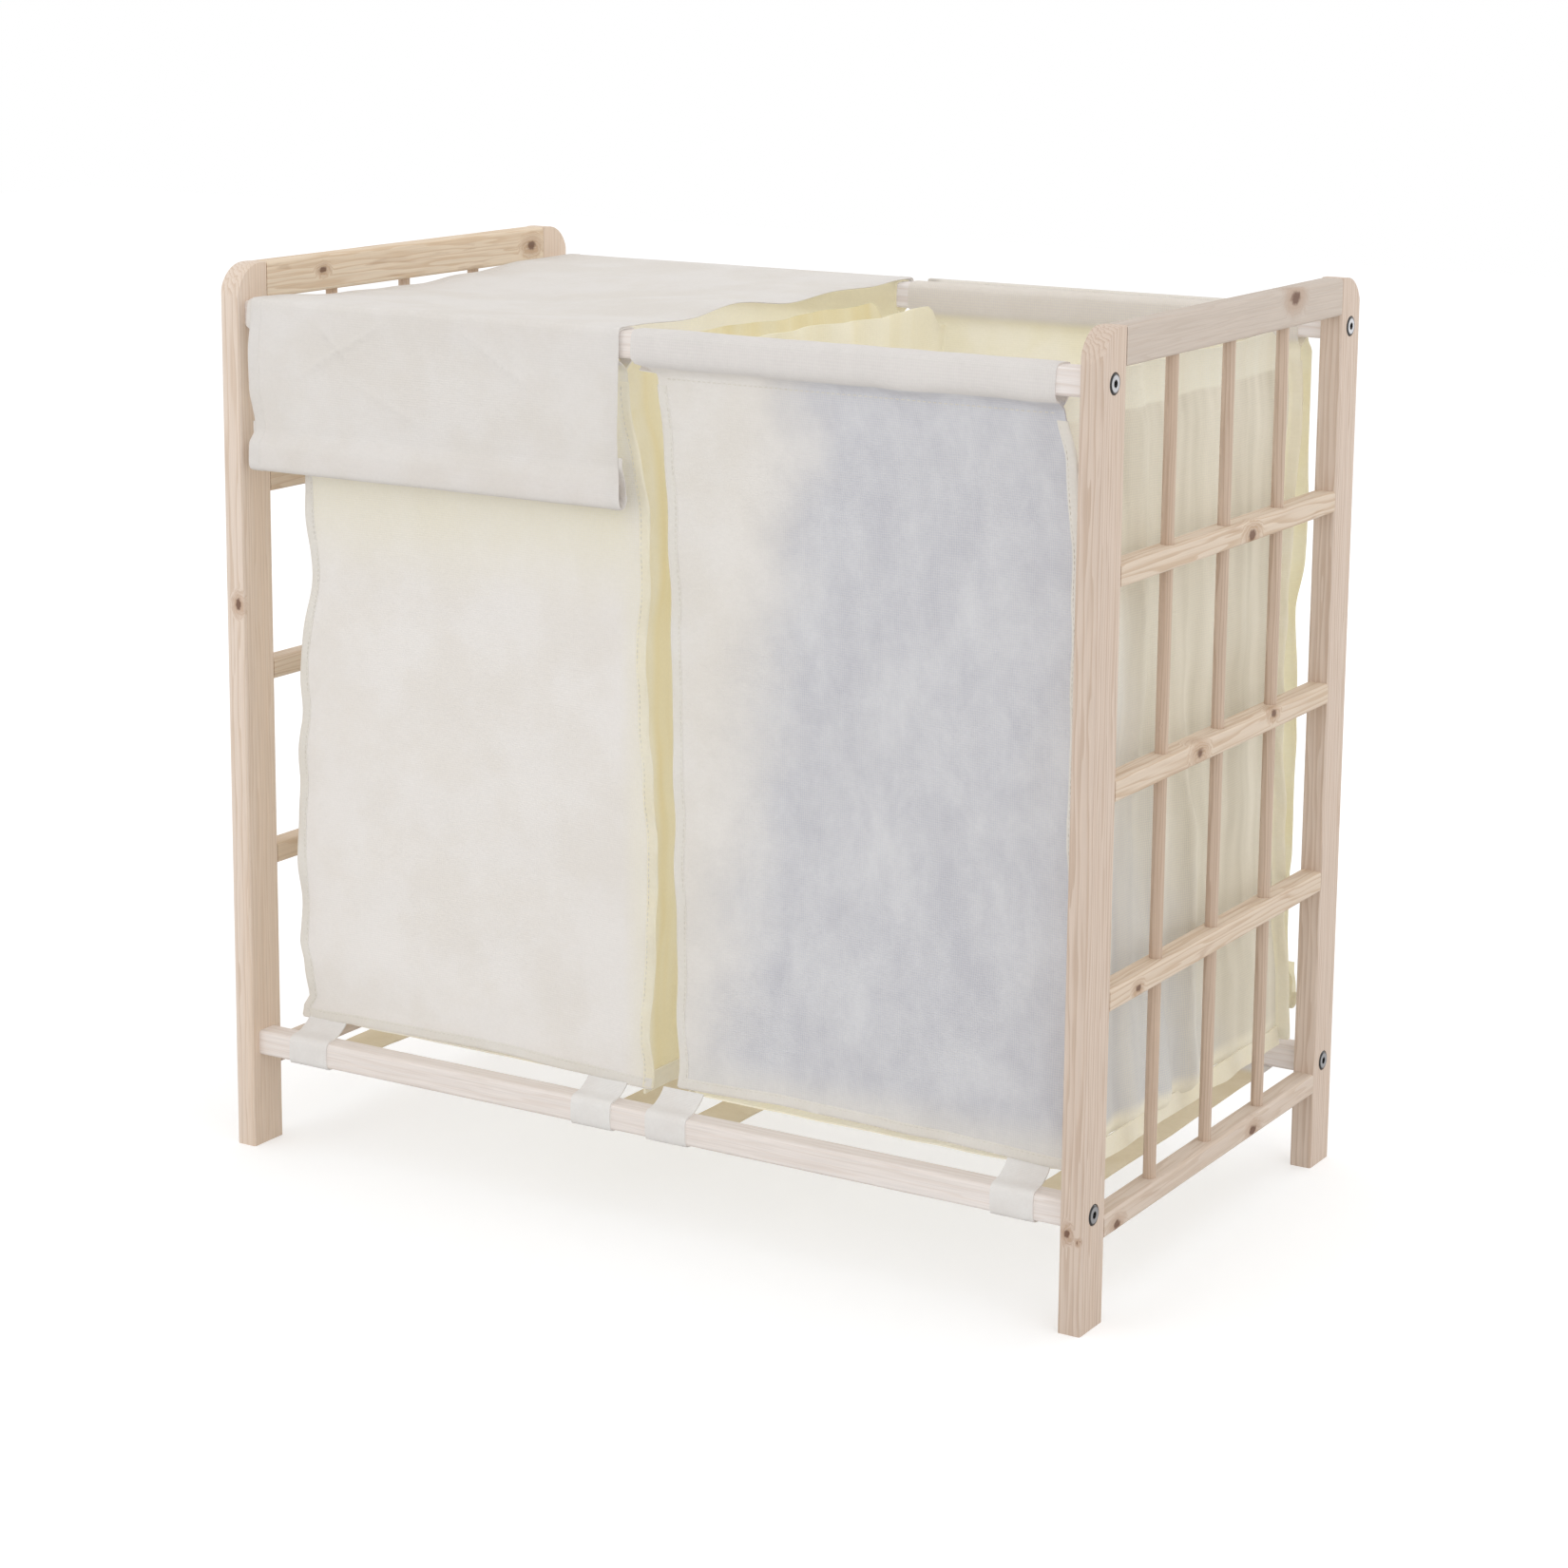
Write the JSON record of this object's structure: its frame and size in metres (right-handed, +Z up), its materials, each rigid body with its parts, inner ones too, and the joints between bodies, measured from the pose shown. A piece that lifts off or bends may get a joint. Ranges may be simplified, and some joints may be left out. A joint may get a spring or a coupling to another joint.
{
  "type": "laundry sorter",
  "caption": "Low timber frame with slatted sides that holds cloth bags side by side under hinged cloth lids, for sorting laundry.",
  "frame": {"origin": "on the floor, under the middle of the frame's width and depth", "axes": "+X to the right seen from the front, along the cross bars; +Y to the rear; +Z up"},
  "size_m": [0.6412, 0.3772, 0.6],
  "materials": {
    "pine": "bare planed pine, matt",
    "turned_wood": "bare sanded wood, matt",
    "zinc": "zinc plated, slightly dull",
    "brass": "turned",
    "cloth_left": "non-woven cloth, cream, matt",
    "cloth_right": "non-woven cloth, cream, matt and slightly see-through",
    "strap_cloth": "folded non-woven cloth, matt"
  },
  "bodies": {
    "frame": {"left_front_post": "pine", "left_rear_post": "pine", "left_top_rail": "pine", "left_upper_rail": "pine", "left_middle_rail": "pine", "left_lower_rail": "pine", "left_bottom_rail": "pine", "left_front_spindle": "turned_wood", "left_middle_spindle": "turned_wood", "left_rear_spindle": "turned_wood", "left_rail_dowels": "turned_wood", "left_bolts": "zinc", "left_inserts": "brass", "right_front_post": "pine", "right_rear_post": "pine", "right_top_rail": "pine", "right_upper_rail": "pine", "right_middle_rail": "pine", "right_lower_rail": "pine", "right_bottom_rail": "pine", "right_front_spindle": "turned_wood", "right_middle_spindle": "turned_wood", "right_rear_spindle": "turned_wood", "right_rail_dowels": "turned_wood", "right_bolts": "zinc", "right_inserts": "brass", "front_top_bar": "pine", "rear_top_bar": "pine", "front_bottom_bar": "pine", "rear_bottom_bar": "pine", "left_bag": "cloth_left", "left_outer_strap": "strap_cloth", "left_inner_strap": "strap_cloth", "right_bag": "cloth_right", "right_inner_strap": "strap_cloth", "right_outer_strap": "strap_cloth"},
    "left_lid": {"left_lid": "cloth_left"},
    "left_flap": {"left_flap": "cloth_left", "left_slat": "turned_wood"},
    "right_lid": {"right_lid": "cloth_right"},
    "right_flap": {"right_flap": "cloth_right", "right_slat": "turned_wood"}
  },
  "joints": [
    {"name": "left_lid_hinge", "type": "hinge", "parent": "frame", "child": "left_lid", "pos_m": [-0.155, 0.1836, 0.5786], "axis": [-1, 0, 0], "range_deg": [0, 270]},
    {"name": "left_flap_fold", "type": "hinge", "parent": "left_lid", "child": "left_flap", "pos_m": [-0.155, -0.1836, 0.5786], "axis": [-1, 0, 0], "range_deg": [0, 90]},
    {"name": "right_lid_hinge", "type": "hinge", "parent": "frame", "child": "right_lid", "pos_m": [0.146, 0.1836, 0.5786], "axis": [-1, 0, 0], "range_deg": [-270, 0]},
    {"name": "right_flap_fold", "type": "hinge", "parent": "right_lid", "child": "right_flap", "pos_m": [0.146, 0.1836, 0.2114], "axis": [-1, 0, 0], "range_deg": [-90, 0]}
  ]
}
